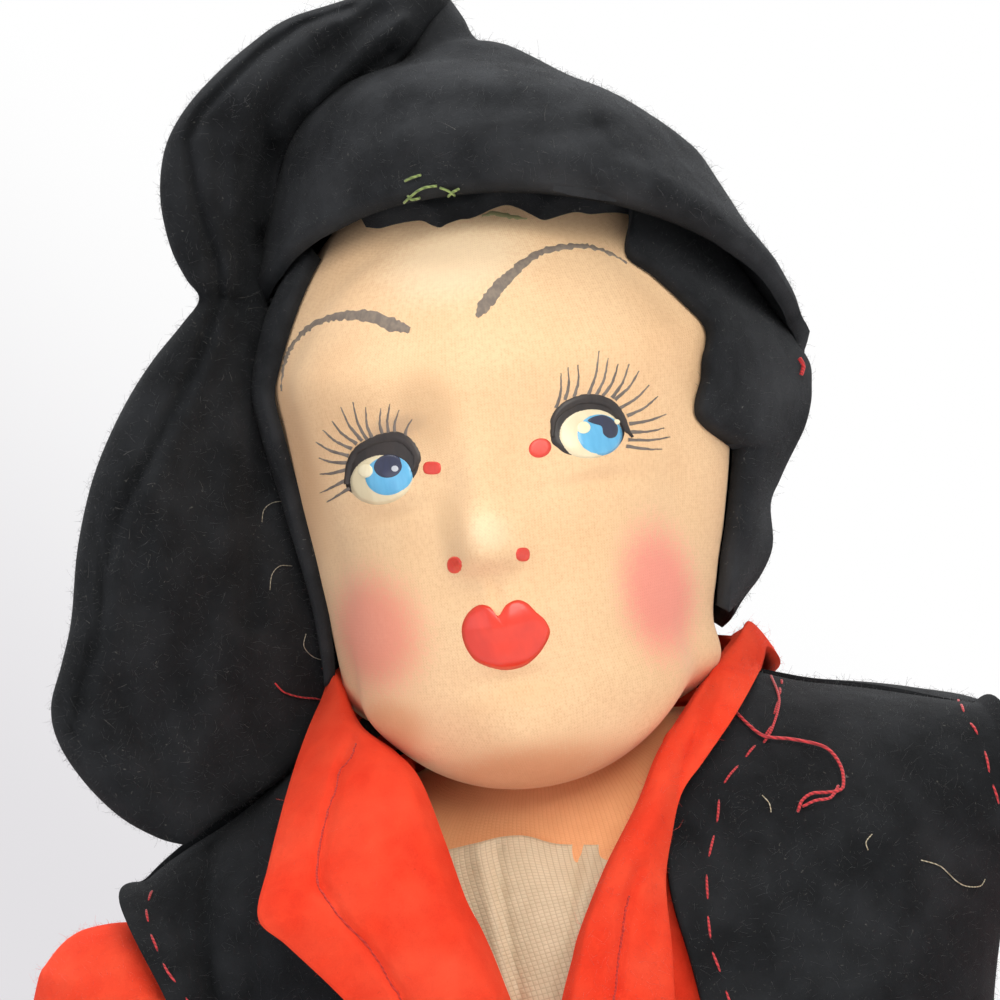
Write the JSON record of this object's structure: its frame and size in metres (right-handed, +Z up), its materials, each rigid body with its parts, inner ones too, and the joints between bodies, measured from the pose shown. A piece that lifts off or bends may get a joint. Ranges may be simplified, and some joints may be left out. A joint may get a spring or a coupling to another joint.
{
  "type": "topsy turvy doll",
  "caption": "Reversible cloth doll with a half doll at each end of one double skirt: felt stocking cap, waistcoat and split collar above, kerchief and blouse below.",
  "frame": {"origin": "centre of the box at the hem that the doll stands on", "axes": "+Z up towards the upper half doll's cap, -Y the way both faces look, +X the upper half doll's left"},
  "size_m": [0.1998, 0.19, 0.3551],
  "materials": {
    "flesh_cloth": "matt knitted cotton stretched over the stuffed and moulded forms",
    "black_felt": "matt wool felt with pale lint",
    "red_felt": "matt wool felt",
    "cream_silk": "soft sheen, open woven silk",
    "red_cotton": "matt plain-woven cotton",
    "brown_felt": "matt wool felt",
    "cream_cotton": "matt plain-woven cotton"
  },
  "bodies": {
    "root": {"upper_torso": "flesh_cloth", "upper_dickey": "cream_silk", "upper_shirt": "red_felt", "upper_vest_left": "black_felt", "upper_vest_right": "black_felt", "upper_vest_back": "black_felt", "upper_collar_left": "red_felt", "upper_collar_right": "red_felt", "waistband": "red_felt", "skirt_outer": "black_felt", "skirt_lining": "red_cotton", "lower_torso": "flesh_cloth", "lower_blouse": "cream_cotton", "lower_collar": "red_cotton"},
    "upper_neck": {"upper_neck": "flesh_cloth"},
    "upper_head": {"upper_head": "flesh_cloth", "upper_face_mask": "flesh_cloth", "upper_hair_fringe": "black_felt", "upper_hair_left": "black_felt", "upper_hair_right": "black_felt", "upper_hair_back": "black_felt", "upper_cap_crown": "black_felt"},
    "upper_cap_tail": {"upper_cap_tail": "black_felt"},
    "upper_arm_left": {"upper_arm_left": "flesh_cloth", "upper_sleeve_left": "red_felt"},
    "upper_arm_right": {"upper_arm_right": "flesh_cloth", "upper_sleeve_right": "red_felt"},
    "lower_neck": {"lower_neck": "flesh_cloth"},
    "lower_head": {"lower_head": "flesh_cloth", "lower_face_mask": "flesh_cloth", "lower_hair_fringe": "brown_felt", "lower_hair_left": "brown_felt", "lower_hair_right": "brown_felt", "lower_hair_back": "brown_felt", "lower_kerchief": "red_cotton"},
    "lower_arm_left": {"lower_arm_left": "flesh_cloth", "lower_sleeve_left": "cream_cotton"},
    "lower_arm_right": {"lower_arm_right": "flesh_cloth", "lower_sleeve_right": "cream_cotton"}
  },
  "joints": [
    {"name": "upper_neck_turn", "type": "hinge", "parent": "root", "child": "upper_neck", "pos_m": [0, 0.003, 0.264], "axis": [0.1132, 0, 0.9936], "range_deg": [-10, 10]},
    {"name": "upper_head_nod", "type": "hinge", "parent": "upper_neck", "child": "upper_head", "pos_m": [0, 0.003, 0.264], "axis": [0.9839, -0.1392, -0.1121], "range_deg": [-4, 5]},
    {"name": "upper_cap_tail_swing", "type": "hinge", "parent": "upper_head", "child": "upper_cap_tail", "pos_m": [0.00238, -0.00211, 0.34475], "axis": [0.1383, 0.9903, -0.0158], "range_deg": [0, 35]},
    {"name": "upper_shoulder_left", "type": "hinge", "parent": "root", "child": "upper_arm_left", "pos_m": [0.058, 0.0015, 0.24], "axis": [-1, 0, 0], "range_deg": [-30, 80]},
    {"name": "upper_shoulder_right", "type": "hinge", "parent": "root", "child": "upper_arm_right", "pos_m": [-0.058, 0.0015, 0.24], "axis": [-1, 0, 0], "range_deg": [-30, 80]},
    {"name": "lower_neck_turn", "type": "hinge", "parent": "root", "child": "lower_neck", "pos_m": [0, 0.003, 0.092], "axis": [0, 0, 1], "range_deg": [-10, 10]},
    {"name": "lower_head_nod", "type": "hinge", "parent": "lower_neck", "child": "lower_head", "pos_m": [0, 0.003, 0.092], "axis": [1, 0, 0], "range_deg": [-4, 5]},
    {"name": "lower_shoulder_left", "type": "hinge", "parent": "root", "child": "lower_arm_left", "pos_m": [-0.0607, 0.0015, 0.116], "axis": [-1, 0, 0], "range_deg": [-25, 25]},
    {"name": "lower_shoulder_right", "type": "hinge", "parent": "root", "child": "lower_arm_right", "pos_m": [0.0607, 0.0015, 0.116], "axis": [-1, 0, 0], "range_deg": [-25, 25]}
  ]
}
